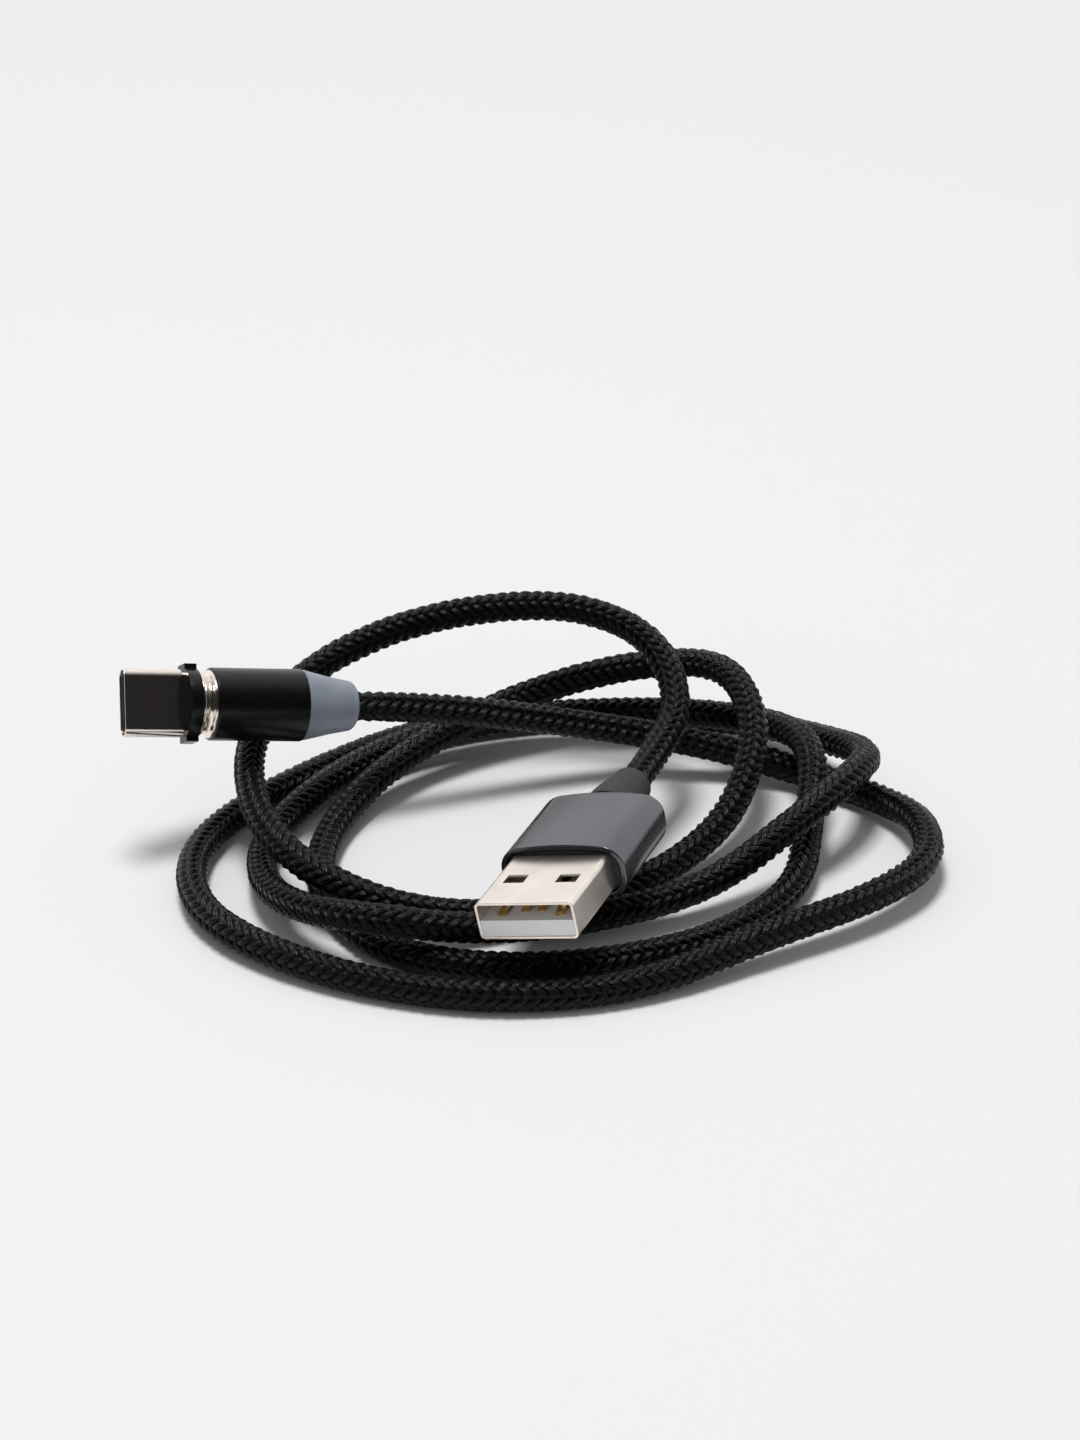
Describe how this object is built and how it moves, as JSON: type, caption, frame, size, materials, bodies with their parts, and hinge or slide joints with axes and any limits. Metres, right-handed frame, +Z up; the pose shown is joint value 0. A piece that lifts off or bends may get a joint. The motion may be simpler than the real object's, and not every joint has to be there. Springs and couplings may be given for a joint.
{
  "type": "magnetic charging cable",
  "caption": "Braided charging cable lying in loose loops, with a USB-A plug at one end and a magnetic head with a detachable USB-C tip at the other.",
  "frame": {"origin": "middle of the whole cable's box in X and Y, on the plane the loops rest on", "axes": "+X right and +Y away as the cable lies in front of the reader with the USB-A plug pointing toward the reader, +Z up"},
  "size_m": [0.0986, 0.0765, 0.0233],
  "materials": {
    "nickel": "bright nickel plate",
    "anodised_grey": "fine satin anodised",
    "boot_rubber": "matte",
    "grey_plastic": "moulded",
    "black_plastic": "moulded",
    "black_gloss": "satin gloss",
    "frosted_plastic": "frosted, lets light through",
    "braid_black": "woven nylon",
    "jacket_rubber": "matte",
    "copper": "plain",
    "gold": "gold plated",
    "spring_steel": "plain",
    "board_green": "solder mask",
    "led_white": "plain",
    "wire_red": "insulation",
    "wire_white": "insulation",
    "wire_green": "insulation",
    "wire_black": "insulation"
  },
  "bodies": {
    "cable": {"usb_a_shell": "nickel", "usb_a_tongue": "grey_plastic", "usb_a_inner_mould": "black_plastic", "usb_a_housing": "anodised_grey", "usb_a_boot": "boot_rubber", "usb_a_crimp": "copper", "cord_jacket_plug": "jacket_rubber", "cord_jacket_head": "jacket_rubber", "head_diffuser": "frosted_plastic", "head_crimp": "copper", "head_sleeve": "black_gloss", "head_magnet_ring": "nickel", "head_insulator": "black_plastic", "pogo_barrel": "gold", "pogo_spring": "spring_steel", "head_board": "board_green", "head_led_left": "led_white", "head_led_right": "led_white", "head_wire_left": "wire_red", "head_wire_right": "wire_black", "usb_a_contact_power": "gold", "usb_a_wire_power": "wire_red", "usb_a_contact_data_minus": "gold", "usb_a_wire_data_minus": "wire_white", "usb_a_contact_data_plus": "gold", "usb_a_wire_data_plus": "wire_green", "usb_a_contact_ground": "gold", "usb_a_wire_ground": "wire_black", "cord_span_1": "braid_black", "cord_span_2": "braid_black", "cord_span_3": "braid_black", "cord_span_4": "braid_black", "cord_span_5": "braid_black", "cord_span_6": "braid_black"},
    "pin": {"pogo_pin": "gold"},
    "tip_ring": {"tip_magnet_ring": "nickel"},
    "tip": {"tip_flange": "black_gloss", "tip_insulator": "black_plastic", "tip_centre_contact": "gold", "tip_board": "board_green", "usb_c_shell": "nickel", "usb_c_insert": "black_plastic", "usb_c_contacts_upper": "gold", "usb_c_contacts_lower": "gold"}
  },
  "joints": [
    {"name": "tip_pull_off", "type": "slide", "parent": "cable", "child": "tip_ring", "axis": [-0.9241, -0.3383, 0.1775], "range_m": [0, 0.015]},
    {"name": "tip_spin", "type": "hinge", "parent": "tip_ring", "child": "tip", "pos_m": [-0.03964, 0.00551, 0.01799], "axis": [-0.9241, -0.3383, 0.1775], "continuous": true},
    {"name": "pogo_press", "type": "slide", "parent": "cable", "child": "pin", "axis": [0.9241, 0.3383, -0.1775], "range_m": [0, 0.0006], "stiffness_N_per_m": 400, "springref_m": -0.0004}
  ]
}
